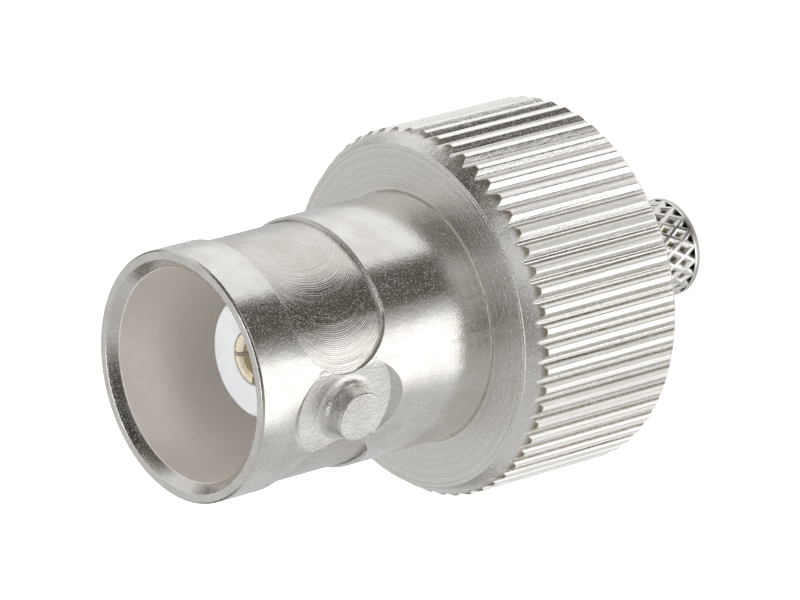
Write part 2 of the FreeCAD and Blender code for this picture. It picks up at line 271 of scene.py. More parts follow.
class PatternGroup:
    """A shader node group with named inputs and outputs, built once and used by several finishes."""

    name = "pattern"
    inputs: dict[str, Kind] = {}
    outputs: dict[str, Kind] = {}

    def __init__(self) -> None:
        """Make the group's tree with its sockets and fill it."""
        self.tree = bpy.data.node_groups.new(self.name, "ShaderNodeTree")
        for direction, sockets in (("INPUT", self.inputs), ("OUTPUT", self.outputs)):
            for label, kind in sockets.items():
                self.tree.interface.new_socket(label, in_out=direction, socket_type=kind.value)
        desk = NodeDesk(self.tree)
        source = self.tree.nodes.new("NodeGroupInput")
        target = self.tree.nodes.new("NodeGroupOutput")
        for label, value in self.fill(desk, source.outputs).items():
            desk.feed(target.inputs[label], value)

    def fill(self, desk: NodeDesk, given: bpy.types.NodeOutputs) -> dict[str, Feed]:
        """Build the pattern from its inputs.

        Args:
            desk: the desk of the group's tree.
            given: the group's inputs.

        Returns:
            What each output gives.
        """
        raise NotImplementedError

    def place(self, desk: NodeDesk, **sources: Feed) -> bpy.types.NodeOutputs:
        """Put the group into a finish.

        Args:
            desk: the desk of the finish.
            sources: what each input gets, with underscores for spaces.

        Returns:
            The outputs of the group there.
        """
        node = desk.add("Group", node_tree=self.tree)
        for label, source in sources.items():
            desk.feed(node.inputs[label.replace("_", " ")], source)
        return node.outputs


class TurnedPlace(PatternGroup):
    """Where a point is on a turned part, in millimetres."""

    name = "turned_place"
    inputs = {"Object": Kind.PLACE}
    outputs = {
        "Place": Kind.PLACE, "Radius": Kind.NUMBER, "Height": Kind.NUMBER, "Angle": Kind.NUMBER,
        "Across": Kind.NUMBER, "Aside": Kind.NUMBER,
    }

    def fill(self, desk: NodeDesk, given: bpy.types.NodeOutputs) -> dict[str, Feed]:
        """Give the place, its radius, height and angle round the axis, and its distances across and aside.

        Args:
            desk: the desk of the group's tree.
            given: the group's inputs.

        Returns:
            What each output gives.
        """
        scaled = desk.add("VectorMath", operation="SCALE")
        desk.feed(scaled.inputs[0], given["Object"])
        scaled.inputs["Scale"].default_value = 1.0 / MM
        parts = desk.add("SeparateXYZ")
        desk.feed(parts.inputs[0], scaled.outputs[0])
        across, aside, height = parts.outputs
        squares = desk.plus(desk.times(across, across), desk.times(aside, aside))
        return {
            "Place": scaled.outputs[0],
            "Radius": desk.math("SQRT", squares),
            "Height": height,
            "Angle": desk.math("ARCTAN2", aside, across),
            "Across": desk.size(across),
            "Aside": desk.size(aside),
        }


class FineGrain(PatternGroup):
    """The fine random grain of satin plating, which breaks reflections into sparkles."""

    name = "fine_grain"
    inputs = {"Place": Kind.PLACE, "Size": Kind.NUMBER, "Depth": Kind.NUMBER}
    outputs = {
        "Height": Kind.NUMBER, "Speckle": Kind.NUMBER, "Spark": Kind.NUMBER, "Cloud": Kind.NUMBER,
    }
    COARSE_SHARE = 0.3
    SPARKS_PER_MM = 16.0
    CLOUDS_PER_MM = 0.9
    SPECKLE: Span = (0.35, 0.65)
    SPARK: Span = (0.52, 0.65)
    CLOUD: Span = (0.3, 0.7)

    def fill(self, desk: NodeDesk, given: bpy.types.NodeOutputs) -> dict[str, Feed]:
        """Give the grain's height, its speckle, its matte specks and a slow cloud of variation.

        Args:
            desk: the desk of the group's tree.
            given: the group's inputs.

        Returns:
            What each output gives.
        """
        place = given["Place"]
        scale = desk.over(1.0, given["Size"])
        fine = desk.noise(place, scale, detail=3.0)
        coarse = desk.noise(place, desk.times(scale, self.COARSE_SHARE), detail=1.0)
        specks = desk.noise(place, self.SPARKS_PER_MM, detail=2.0)
        clouds = desk.noise(place, self.CLOUDS_PER_MM, detail=3.0)
        return {
            "Height": desk.times(desk.plus(fine, coarse), given["Depth"]),
            "Speckle": desk.step(fine, *self.SPECKLE),
            "Spark": desk.step(specks, *self.SPARK),
            "Cloud": desk.step(clouds, *self.CLOUD),
        }


class TurnedRings(PatternGroup):
    """Fine rings that a lathe tool leaves, with a little break-up along each ring."""

    name = "turned_rings"
    inputs = {
        "Place": Kind.PLACE, "Along": Kind.NUMBER, "Pitch": Kind.NUMBER, "Depth": Kind.NUMBER,
    }
    outputs = {"Height": Kind.NUMBER, "Streak": Kind.NUMBER}
    BREAKS_PER_MM = 0.35
    WANDER = 0.25
    STREAK: Span = (0.35, 0.65)

    def fill(self, desk: NodeDesk, given: bpy.types.NodeOutputs) -> dict[str, Feed]:
        """Give the rings' height and their streaks.

        Args:
            desk: the desk of the group's tree.
            given: the group's inputs.

        Returns:
            What each output gives.
        """
        breaks = desk.noise(given["Place"], self.BREAKS_PER_MM, detail=1.0)
        turns = desk.over(given["Along"], given["Pitch"])
        wandering = desk.plus(turns, desk.times(breaks, self.WANDER))
        rings = desk.noise(wandering, scale=1.0, detail=4.0, kind=Noise.ALONG)
        return {
            "Height": desk.times(rings, given["Depth"]),
            "Streak": desk.step(rings, *self.STREAK),
        }


class MillingArcs(PatternGroup):
    """Arcs that the edge of a milling cutter leaves side by side in a recess."""

    name = "milling_arcs"
    inputs = {
        "Sweep": Kind.NUMBER, "Rise": Kind.NUMBER, "Cutter": Kind.NUMBER, "Pitch": Kind.NUMBER,
        "Depth": Kind.NUMBER,
    }
    outputs = {"Height": Kind.NUMBER, "Streak": Kind.NUMBER}
    LEAST = 0.02
    UNEVEN = 0.7
    WAVE = 0.15
    STREAK: Span = (0.2, 0.5)

    def fill(self, desk: NodeDesk, given: bpy.types.NodeOutputs) -> dict[str, Feed]:
        """Give the arcs' height and their streaks.

        Args:
            desk: the desk of the group's tree.
            given: the group's inputs.

        Returns:
            What each output gives.
        """
        cutter, rise = given["Cutter"], given["Rise"]
        left = desk.minus(desk.times(cutter, cutter), desk.times(rise, rise))
        bulge = desk.math("SQRT", desk.larger(left, self.LEAST))
        turns = desk.over(desk.plus(given["Sweep"], bulge), given["Pitch"])
        rough = desk.noise(turns, scale=1.0, detail=3.0, kind=Noise.ALONG)
        wave = desk.math("SINE", desk.times(turns, FULL_TURN))
        arcs = desk.times_plus(rough, self.UNEVEN, desk.times(wave, self.WAVE))
        return {
            "Height": desk.times(arcs, given["Depth"]),
            "Streak": desk.step(arcs, *self.STREAK),
        }


class GrooveDarkening(PatternGroup):
    """Dull warm darkening at the bottom of grooves: tarnish on the collar, tarnish with painted shade in the
    neck's pits.
    """

    name = "groove_darkening"
    inputs = {"Place": Kind.PLACE, "Radius": Kind.NUMBER, "Bottom": Kind.NUMBER, "Crest": Kind.NUMBER}
    outputs = {"Darkening": Kind.NUMBER}
    PATCHES_PER_MM = 5.0
    SPREAD = 0.9
    STAIN: Span = (0.35, 1.0)

    def fill(self, desk: NodeDesk, given: bpy.types.NodeOutputs) -> dict[str, Feed]:
        """Give the darkening, full at the bottom radius and none at the crest.

        Args:
            desk: the desk of the group's tree.
            given: the group's inputs.

        Returns:
            What each output gives.
        """
        depth = desk.step(given["Radius"], given["Crest"], given["Bottom"])
        patches = desk.noise(given["Place"], self.PATCHES_PER_MM, detail=3.0)
        uneven = desk.times_plus(patches, self.SPREAD, desk.minus(depth, self.SPREAD / 2.0))
        return {"Darkening": desk.step(uneven, *self.STAIN)}


class KnurlMarks(PatternGroup):
    """What a worn knurling wheel leaves in straight grooves: steeper flanks and tarnish lines, with the
    masks for a painted highlight on one flank and on the crests.

    A place across a groove counts in half widths of the groove: 0 at its bottom, -1 and 1 at its edges.
    """

    name = "knurl_marks"
    inputs = {
        "Angle": Kind.NUMBER, "Count": Kind.NUMBER, "First": Kind.NUMBER, "Girth": Kind.NUMBER,
        "Half Width": Kind.NUMBER, "Far Lean": Kind.NUMBER, "Near Lean": Kind.NUMBER,
    }
    outputs = {"Height": Kind.NUMBER, "Lines": Kind.NUMBER, "Highlight Flank": Kind.NUMBER, "Crest": Kind.NUMBER}
    NEAR_SIDE: Span = (0.0, -0.1)
    BELOW_EDGE: Span = (1.0, 0.0)
    ABOVE_FLOOR: Span = (0.0, 0.3)
    CREST: Span = (0.98, 1.06)
    FLOOR_LINE = -0.42
    FLOOR_FADE: Span = (0.25, 0.08)
    EDGE_LINE = -0.97
    EDGE_FADE: Span = (0.12, 0.03)
    EDGE_STRENGTH = 0.7

    def fill(self, desk: NodeDesk, given: bpy.types.NodeOutputs) -> dict[str, Feed]:
        """Give the height that tilts the flanks, the tarnish lines, and the masks of the near flank and the
        crests that get a painted highlight.

        Args:
            desk: the desk of the group's tree.
            given: the group's inputs.

        Returns:
            What each output gives.
        """
        turns = desk.over(desk.minus(given["Angle"], given["First"]), FULL_TURN)
        phase = desk.math("FRACT", desk.times_plus(turns, given["Count"], given["Count"]))
        across = desk.minus(desk.math("FRACT", desk.plus(phase, 0.5)), 0.5)
        aside = desk.over(desk.times(across, given["Girth"]), given["Count"])
        spot = desk.over(aside, given["Half Width"])
        away = desk.size(spot)
        near_side = desk.step(spot, *self.NEAR_SIDE)
        sunk = desk.times(desk.step(away, *self.BELOW_EDGE), desk.step(away, *self.ABOVE_FLOOR))
        lean = desk.times(sunk, desk.blend(near_side, given["Far Lean"], given["Near Lean"]))
        floor_line = self.line(desk, spot, self.FLOOR_LINE, self.FLOOR_FADE)
        edge_line = self.line(desk, spot, self.EDGE_LINE, self.EDGE_FADE)
        crest = desk.step(away, *self.CREST)
        return {
            "Height": desk.times(lean, -1.0),
            "Lines": desk.larger(floor_line, desk.times(edge_line, self.EDGE_STRENGTH)),
            "Highlight Flank": desk.times(near_side, desk.rest(crest)),
            "Crest": crest,
        }

    def line(self, desk: NodeDesk, spot: Socket, middle: float, fade: Span) -> Socket:
        """Mark a line that runs along every groove.

        Args:
            desk: the desk of the group's tree.
            spot: the place across the groove.
            middle: where the line is.
            fade: how far from its middle the line starts and is full.

        Returns:
            The mask, 1 on the line.
        """
        return desk.step(desk.size(desk.plus(spot, -middle)), *fade)


@dataclass(frozen=True)
class Patterns:
    """The shared groups, each built once."""

    turned_place: TurnedPlace = field(default_factory=TurnedPlace)
    fine_grain: FineGrain = field(default_factory=FineGrain)
    turned_rings: TurnedRings = field(default_factory=TurnedRings)
    milling_arcs: MillingArcs = field(default_factory=MillingArcs)
    groove_darkening: GrooveDarkening = field(default_factory=GrooveDarkening)
    knurl_marks: KnurlMarks = field(default_factory=KnurlMarks)


class Surface(NamedTuple):
    """What a finish gives at each point, its height in millimetres."""

    colour: Socket
    roughness: Socket
    height: Socket


@dataclass(frozen=True)
class Finish:
    """A finish that becomes one material. Colours are linear, sizes in millimetres and angles in degrees."""

    patterns: Patterns
    name: str = "finish"
    metallic: float = 1.0
    roughness: Span = (0.2, 0.3)
    spark_share: float = 0.3

    def build(self) -> bpy.types.Material:
        """Make the material with its shader.

        Returns:
            The material.
        """
        material = bpy.data.materials.new(self.name)
        material.use_nodes = True
        desk = NodeDesk(material.node_tree)
        shader = material.node_tree.nodes["Principled BSDF"]
        shader.inputs["Metallic"].default_value = self.metallic
        coordinates = desk.add("TexCoord")
        spot = self.patterns.turned_place.place(desk, Object=coordinates.outputs["Object"])
        surface = self.surface(desk, spot, shader)
        bump = desk.add("Bump")
        bump.inputs["Distance"].default_value = MM
        desk.feed(bump.inputs["Height"], surface.height)
        desk.feed(shader.inputs["Base Color"], surface.colour)
        desk.feed(shader.inputs["Roughness"], surface.roughness)
        desk.feed(shader.inputs["Normal"], bump.outputs["Normal"])
        return material

    def surface(self, desk: NodeDesk, spot: bpy.types.NodeOutputs, shader: bpy.types.Node) -> Surface:
        """Work out the finish at each point.

        Args:
            desk: the desk of the material.
            spot: where the point is on the turned part.
            shader: the material's shader, for what the surface doesn't hold.

        Returns:
            The surface.
        """
        raise NotImplementedError


@dataclass(frozen=True)
class BarrelNickel(Finish):
    """Satin nickel on the turned barrel, with turned ends, milled recesses, beaded pads and a dull bore."""

    name: str = "satin_nickel_barrel"
    bright: Colour = (0.80, 0.785, 0.76, 1.0)
    dull: Colour = (0.70, 0.675, 0.64, 1.0)
    roughness: Span = (0.13, 0.2)
    end_start: float = 24.03
    end_fade: Span = (0.0, 0.05)
    bore_edge: float = 4.09
    bore_fade: Span = (0.02, 0.0)
    bore: Colour = (1.0, 0.96, 0.915, 1.0)
    bore_grain: Colour = (0.92, 0.87, 0.815, 1.0)
    bore_metallic: float = 0.3
    bore_roughness: float = 0.36
    recess_radius: float = 4.745
    recess_low: float = 18.13
    recess_high: float = 22.43
    recess_fade: Span = (0.02, -0.02)
    rim_fade: Span = (0.03, 0.0)
    cutter: float = 2.15
    score: Colour = (0.34, 0.30, 0.25, 1.0)
    score_share: float = 0.5
    pad_plane: float = 4.52
    plane_fade: Span = (0.0, -0.04)
    pad_radius: float = 2.18
    pad_fade: Span = (0.02, -0.02)
    pad_coarseness: float = 3.0
    pad_roughness: float = 0.24
    lug_height: float = 20.26

    def surface(self, desk: NodeDesk, spot: bpy.types.NodeOutputs, shader: bpy.types.Node) -> Surface:
        """Blend the zones of the barrel.

        Args:
            desk: the desk of the material.
            spot: where the point is on the turned part.
            shader: the material's shader, whose Metallic drops in the bore and on the specks.

        Returns:
            The surface.
        """
        place, radius, height = spot["Place"], spot["Radius"], spot["Height"]
        grain = self.patterns.fine_grain.place(desk, Place=place, Size=0.045, Depth=0.0035)
        sides = self.patterns.turned_rings.place(desk, Place=place, Along=height, Pitch=0.09, Depth=0.0012)
        ends = self.patterns.turned_rings.place(desk, Place=place, Along=radius, Pitch=0.05, Depth=0.0025)
        arcs = self.patterns.milling_arcs.place(
            desk, Sweep=desk.times(spot["Angle"], self.recess_radius),
            Rise=desk.minus(height, (self.recess_low + self.recess_high) / 2.0),
            Cutter=self.cutter, Pitch=0.08, Depth=0.006,
        )
        at_end = desk.past(height, self.end_start, self.end_fade)
        in_bore = desk.past(radius, self.bore_edge, self.bore_fade)
        beside = desk.past(spot["Across"], self.pad_plane, self.plane_fade)
        in_recess = self.in_recess(desk, spot, beside, in_bore)
        on_pad = self.on_pad(desk, spot, beside)
        marks = desk.blend(at_end, sides["Height"], ends["Height"])
        marks = desk.blend(in_recess, marks, arcs["Height"])
        coarse = desk.times(on_pad, self.pad_coarseness)
        relief = desk.times_plus(grain["Height"], coarse, desk.plus(marks, grain["Height"]))
        colour = desk.tint(grain["Cloud"], self.dull, self.bright)
        colour = desk.tint(desk.times(arcs["Streak"], in_recess, self.score_share), colour, self.score)
        colour = desk.tint(in_bore, colour, desk.tint(grain["Speckle"], self.bore, self.bore_grain))
        metal = desk.times_plus(grain["Spark"], -self.spark_share, 1.0)
        desk.feed(shader.inputs["Metallic"], desk.blend(in_bore, metal, self.bore_metallic))
        roughness = desk.blend(grain["Speckle"], *self.roughness)
        roughness = desk.blend(in_bore, roughness, self.bore_roughness)
        roughness = desk.larger(roughness, desk.times(on_pad, self.pad_roughness))
        return Surface(colour, roughness, relief)

    def in_recess(
        self, desk: NodeDesk, spot: bpy.types.NodeOutputs, beside: Socket, in_bore: Socket
    ) -> Socket:
        """Mark the milled recesses.

        Args:
            desk: the desk of the material.
            spot: where the point is on the turned part.
            beside: the mask of what lies beside the pads.
            in_bore: the mask of the bore.

        Returns:
            The mask, 1 in a recess.
        """
        sunk = desk.past(spot["Radius"], self.recess_radius, self.recess_fade)
        below_rim = desk.past(spot["Height"], self.recess_high, self.rim_fade)
        return desk.times(sunk, beside, desk.rest(in_bore), below_rim)

    def on_pad(self, desk: NodeDesk, spot: bpy.types.NodeOutputs, beside: Socket) -> Socket:
        """Mark the beaded pads round the lugs.

        Args:
            desk: the desk of the material.
            spot: where the point is on the turned part.
            beside: the mask of what lies beside the pads.

        Returns:
            The mask, 1 on a pad.
        """
        rise = desk.minus(spot["Height"], self.lug_height)
        squares = desk.times_plus(rise, rise, desk.times(spot["Aside"], spot["Aside"]))
        near_lug = desk.past(desk.math("SQRT", squares), self.pad_radius, self.pad_fade)
        return desk.times(near_lug, desk.rest(beside))


@dataclass(frozen=True)
class CollarNickel(Finish):
    """Nickel on the knurled collar: face rings, tarnish lines, painted highlights on flanks, crests and
    seam, painted shade at the groove tips.
    """

    name: str = "satin_nickel_collar"
    bright: Colour = (0.82, 0.80, 0.77, 1.0)
    # Near white for the painted highlight on the knurl's flanks and crests.
    highlight_white: Colour = (1.0, 0.985, 0.955, 1.0)
    # Dark brown for tarnish, and for painted shade on the chamfer and in the neck's pits.
    tarnish_and_shade: Colour = (0.22, 0.17, 0.11, 1.0)
    # Near white for the painted highlight along the seam.
    seam_highlight_white: Colour = (1.0, 0.95, 0.86, 1.0)
    roughness: Span = (0.16, 0.26)
    stain_roughness: float = 0.25
    crest: float = 7.15
    groove: float = 6.915
    groove_fade: Span = (-0.012, -0.002)
    groove_count: float = 57.0
    first_groove: float = 3.48
    groove_half_width: float = 0.29
    far_lean: float = 0.026
    near_lean: float = 0.05
    patina_depth: float = 0.11
    patina_share: float = 0.3
    line_strength: Span = (0.6, 1.0)
    flank_highlight: float = 0.75
    crest_highlight: float = 0.5
    fullest_highlight: float = 0.5
    chamfer_start: float = 12.58
    chamfer_length: float = 0.75
    chamfer_depth: float = 0.47
    chamfer_fade: Span = (-0.06, -0.02)
    tip_shade_fade: Span = (0.06, 0.2)
    tip_shade_strength: Span = (0.6, 0.95)
    face_fade: Span = (-0.03, -0.01)
    streak_share: float = 0.14
    seam_radius: float = 4.865
    seam_fade: Span = (0.01, 0.0)

    def surface(self, desk: NodeDesk, spot: bpy.types.NodeOutputs, shader: bpy.types.Node) -> Surface:
        """Blend the knurl, the chamfer, the turned face and the painted highlight along the seam.

        Args:
            desk: the desk of the material.
            spot: where the point is on the turned part.
            shader: the material's shader, whose Metallic drops where a highlight is painted, on the specks
                and along the seam.

        Returns:
            The surface.
        """
        place, radius, height = spot["Place"], spot["Radius"], spot["Height"]
        grain = self.patterns.fine_grain.place(desk, Place=place, Size=0.06, Depth=0.009)
        rings = self.patterns.turned_rings.place(desk, Place=place, Along=radius, Pitch=0.09, Depth=0.02)
        hollow_darkening = self.patterns.groove_darkening.place(
            desk, Place=place, Radius=radius, Bottom=self.groove, Crest=self.groove + self.patina_depth,
        )
        marks = self.patterns.knurl_marks.place(
            desk, Angle=spot["Angle"], Count=self.groove_count, First=math.radians(self.first_groove),
            Girth=FULL_TURN * self.crest, Half_Width=self.groove_half_width,
            Far_Lean=self.far_lean, Near_Lean=self.near_lean,
        )
        on_face = desk.past(height, self.chamfer_start + self.chamfer_length, self.face_fade)
        on_chamfer = self.on_chamfer(desk, radius, height)
        # Painted highlight: the ring next to the barrel is near white and not metallic.
        seam = desk.past(radius, self.seam_radius, self.seam_fade)
        knurled = desk.times(desk.past(radius, self.groove, self.groove_fade), desk.rest(on_chamfer))
        # Painted shade: the chamfer between the groove tips is darkened towards dark brown.
        between = desk.times(on_chamfer, desk.past(radius, self.groove, self.tip_shade_fade))
        between = desk.times(between, desk.blend(grain["Speckle"], *self.tip_shade_strength))
        lines = desk.times(marks["Lines"], desk.blend(grain["Speckle"], *self.line_strength))
        # This dark brown mask holds tarnish in the grooves and the painted shade on the chamfer.
        tarnish_and_shade_mask = desk.larger(desk.times(hollow_darkening["Darkening"], self.patina_share), lines)
        tarnish_and_shade_mask = desk.larger(desk.times(tarnish_and_shade_mask, knurled), between)
        # Painted highlight: the near flank of each groove and the crests turn near white and lose their
        # metal.
        highlight_and_specks = desk.plus(
            desk.times(marks["Highlight Flank"], self.flank_highlight), desk.times(marks["Crest"], self.crest_highlight)
        )
        highlight_and_specks = desk.times(highlight_and_specks, knurled)
        painted_highlight = desk.math("MINIMUM", desk.times(highlight_and_specks, 1.0 / self.fullest_highlight), 1.0)
        colour = desk.tint(painted_highlight, self.bright, self.highlight_white)
        colour = desk.tint(desk.times(rings["Streak"], on_face, self.streak_share), colour, self.tarnish_and_shade)
        colour = desk.tint(tarnish_and_shade_mask, colour, self.tarnish_and_shade)
        colour = desk.tint(seam, colour, self.seam_highlight_white)
        highlight_and_specks = desk.larger(highlight_and_specks, desk.times(grain["Spark"], self.spark_share))
        desk.feed(shader.inputs["Metallic"], desk.rest(desk.larger(highlight_and_specks, seam)))
        relief = desk.plus(grain["Height"], desk.times(rings["Height"], on_face))
        relief = desk.times_plus(marks["Height"], knurled, relief)
        roughness = desk.blend(grain["Speckle"], *self.roughness)
        roughness = desk.times_plus(tarnish_and_shade_mask, self.stain_roughness, roughness)
        return Surface(colour, roughness, relief)

    def on_chamfer(self, desk: NodeDesk, radius: Socket, height: Socket) -> Socket:
        """Mark the front chamfer by the cone that it lies on.

        Args:
            desk: the desk of the material.
            radius: the point's distance from the axis.
            height: the point's height.

        Returns:
            The mask, 1 on the chamfer.
        """
        slope = self.chamfer_length / self.chamfer_depth
        cone = desk.times_plus(radius, slope, height)
        return desk.past(cone, self.chamfer_start + self.crest * slope, self.chamfer_fade)


@dataclass(frozen=True)
class StemNickel(Finish):
    """Nickel on the crimp neck, darkened in the pits of its knurl with brown tarnish and painted shade."""

    name: str = "satin_nickel_stem"
    bright: Colour = (0.78, 0.765, 0.74, 1.0)
    # Dark brown for tarnish and painted shade in the pits.
    tarnish_and_shade: Colour = (0.16, 0.125, 0.08, 1.0)
    roughness: Span = (0.18, 0.3)
    crest: float = 1.905
    clean_depth: float = 0.01
    valley: float = 1.745
    darkened_height: float = 0.03
    lip: Colour = (0.5, 0.49, 0.47, 1.0)
    lip_height: float = 0.2
    lip_fade: Span = (0.03, 0.0)
    lip_metallic: float = 0.25

    def surface(self, desk: NodeDesk, spot: bpy.types.NodeOutputs, shader: bpy.types.Node) -> Surface:
        """Blend the crests, the pits and the plain lip of the neck.

        Args:
            desk: the desk of the material.
            spot: where the point is on the turned part.
            shader: the material's shader, whose Metallic drops on the lip and on the specks.

        Returns:
            The surface.
        """
        place = spot["Place"]
        grain = self.patterns.fine_grain.place(desk, Place=place, Size=0.05, Depth=0.006)
        # The neck's pits are darkened towards dark brown: partly tarnish, partly painted shade.
        hollow_darkening = self.patterns.groove_darkening.place(
            desk, Place=place, Radius=spot["Radius"],
            Bottom=self.valley + self.darkened_height, Crest=self.crest - self.clean_depth,
        )
        at_lip = desk.past(spot["Height"], self.lip_height, self.lip_fade)
        colour = desk.tint(hollow_darkening["Darkening"], self.bright, self.tarnish_and_shade)
        colour = desk.tint(at_lip, colour, self.lip)
        metal = desk.times_plus(grain["Spark"], -self.spark_share, 1.0)
        desk.feed(shader.inputs["Metallic"], desk.blend(at_lip, metal, self.lip_metallic))
        return Surface(colour, desk.blend(grain["Speckle"], *self.roughness), grain["Height"])


@dataclass(frozen=True)
class WhiteFluoropolymer(Finish):
    """White turned fluoropolymer, a little waxy."""

    name: str = "white_fluoropolymer"
    metallic: float = 0.0
    clean: Colour = (0.86, 0.88, 0.90, 1.0)
    shaded: Colour = (0.80, 0.82, 0.84, 1.0)
    roughness: Span = (0.38, 0.48)
    subsurface: float = 0.35
    light_reach: tuple[float, float, float] = (0.8, 0.8, 0.9)

    def surface(self, desk: NodeDesk, spot: bpy.types.NodeOutputs, shader: bpy.types.Node) -> Surface:
        """Give the plastic faint turning rings and slow clouds.

        Args:
            desk: the desk of the material.
            spot: where the point is on the turned part.
            shader: the material's shader, which lets a little light in.

        Returns:
            The surface.
        """
        shader.inputs["Subsurface Weight"].default_value = self.subsurface
        shader.inputs["Subsurface Radius"].default_value = [reach * MM for reach in self.light_reach]
        shader.inputs["Subsurface Scale"].default_value = 1.0
        place = spot["Place"]
        grain = self.patterns.fine_grain.place(desk, Place=place, Size=0.05, Depth=0.002)
        rings = self.patterns.turned_rings.place(
            desk, Place=place, Along=spot["Radius"], Pitch=0.12, Depth=0.003,
        )
        colour = desk.tint(grain["Cloud"], self.clean, self.shaded)
        roughness = desk.blend(rings["Streak"], *self.roughness)
        return Surface(colour, roughness, desk.plus(grain["Height"], rings["Height"]))


@dataclass(frozen=True)
class PaleGold(Finish):
    """Pale gold plate on the centre contact."""

    name: str = "pale_gold"
    metallic: float = 0.4
    bright: Colour = (1.0, 0.94, 0.76, 1.0)
    dull: Colour = (0.98, 0.88, 0.64, 1.0)

    def surface(self, desk: NodeDesk, spot: bpy.types.NodeOutputs, shader: bpy.types.Node) -> Surface:
        """Give the gold fine rings and warmer clouds.

        Args:
            desk: the desk of the material.
            spot: where the point is on the turned part.
            shader: the material's shader.

        Returns:
            The surface.
        """
        place = spot["Place"]
        grain = self.patterns.fine_grain.place(desk, Place=place, Size=0.04, Depth=0.003)
        rings = self.patterns.turned_rings.place(
            desk, Place=place, Along=spot["Height"], Pitch=0.06, Depth=0.002,
        )
        colour = desk.tint(grain["Cloud"], self.bright, self.dull)
        roughness = desk.blend(grain["Speckle"], *self.roughness)
        return Surface(colour, roughness, desk.plus(grain["Height"], rings["Height"]))


@dataclass(kw_only=True)
class PackedPiece:
    """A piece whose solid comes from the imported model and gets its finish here."""

    node: str
    finish: Finish

    def dress(self) -> bpy.types.Object:
        """Put the finish on the piece.

        Returns:
            The dressed object.
        """
        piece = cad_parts[self.node]
        material = self.finish.build()
        for slot in piece.material_slots:
            slot.material = material
        LOG.info("%s dressed in %s", self.node, self.finish.name)
        return piece


@dataclass(frozen=True)
class Rounding:
    """Corners that get a wider round, told by where they are, in millimetres."""

    width: float
    radius: Span
    height: Span

    def holds(self, edge: bmesh.types.BMEdge) -> bool:
        """Tell whether an edge is one of these corners.

        Args:
            edge: the edge.

        Returns:
            True if it is.
        """
        (low, high), (bottom, top) = self.radius, self.height
        places = [(corner.co.xy.length / MM, corner.co.z / MM) for corner in edge.verts]
        return all(low < away < high and bottom < up < top for away, up in places)


@dataclass(kw_only=True)
class SoftenedPiece(PackedPiece):
    """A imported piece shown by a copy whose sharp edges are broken, as plating and handling leave them.

    Lengths are in millimetres and angles in degrees.
    """

    slot: str
    edge: float = 0.02
    segments: int = 3
    merged: float = 0.001
    flat_fold: float = 0.4
    least_fold: float = 22.0
    smooth_fold: float = 35.0

    def dress(self) -> bpy.types.Object:
        """Copy the piece, break its edges and put the finish on.

        Returns:
            The dressed copy.
        """
        piece = self.merged_copy(super().dress())
        widest = self.weigh_edges(piece.data)
        self.apply(
            piece, "BEVEL", limit_method="WEIGHT", width=widest * MM, segments=self.segments,
            use_clamp_overlap=False,
        )
        bpy.ops.object.shade_smooth_by_angle(angle=math.radians(self.smooth_fold))
        self.apply(piece, "WEIGHTED_NORMAL", keep_sharp=True)
        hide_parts(self.node)
        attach(piece, BODY)
        LOG.info("%s softened, %d faces", piece.name, len(piece.data.polygons))
        return piece

    def roundings(self) -> tuple[Rounding, ...]:
        """Give the corners that get a wider round than the edges do."""
        return ()

    def merged_copy(self, source: bpy.types.Object) -> bpy.types.Object:
        """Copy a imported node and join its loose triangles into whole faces.

        Args:
            source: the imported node, which stays as it is.

        Returns:
            The copy, active and alone selected.
        """
        bpy.ops.object.select_all(action="DESELECT")
        source.select_set(True)
        bpy.context.view_layer.objects.active = source
        bpy.ops.object.duplicate()
        piece = bpy.context.active_object
        piece.name = f"{self.node}_finished"
        bpy.ops.mesh.customdata_custom_splitnormals_clear()
        bpy.ops.object.mode_set(mode="EDIT")
        bpy.ops.mesh.select_all(action="SELECT")
        bpy.ops.mesh.remove_doubles(threshold=self.merged * MM)
        bpy.ops.mesh.dissolve_limited(angle_limit=math.radians(self.flat_fold))
        bpy.ops.object.mode_set(mode="OBJECT")
        return piece

    def weigh_edges(self, mesh: bpy.types.Mesh) -> float:
        """Give each folded edge its share of the widest bevel.

        Args:
            mesh: the merged mesh.

        Returns:
            The widest bevel in millimetres.
        """
        roundings = self.roundings()
        widest = max([self.edge, *(rounding.width for rounding in roundings)])
        shape = bmesh.new()
        shape.from_mesh(mesh)
        weights = shape.edges.layers.float.new("bevel_weight_edge")
        for edge in shape.edges:
            if edge.calc_face_angle() > math.radians(self.least_fold):
                widths = [rounding.width for rounding in roundings if rounding.holds(edge)]
                edge[weights] = max([self.edge, *widths]) / widest
        shape.to_mesh(mesh)
        shape.free()
        return widest

    def apply(self, piece: bpy.types.Object, kind: str, **settings: object) -> None:
        """Add a modifier and apply it.

        Args:
            piece: the active object.
            kind: the modifier's type.
            settings: options of the modifier.
        """
        modifier = piece.modifiers.new(kind.lower(), kind)
        for name, value in settings.items():
            setattr(modifier, name, value)
        bpy.ops.object.modifier_apply(modifier=modifier.name)


@dataclass(kw_only=True)
class BayonetBarrel(SoftenedPiece):
    """The turned barrel with its lugs, pads and milled recesses."""

    node: str = "bayonet_barrel"
    slot: str = "nickel_barrel"
    recess_corners: Rounding = Rounding(width=0.08, radius=(4.64, 4.69), height=(18.0, 22.5))

    def roundings(self) -> tuple[Rounding, ...]:
        """Round the corners at the bottom of the recesses."""
        return (self.recess_corners,)


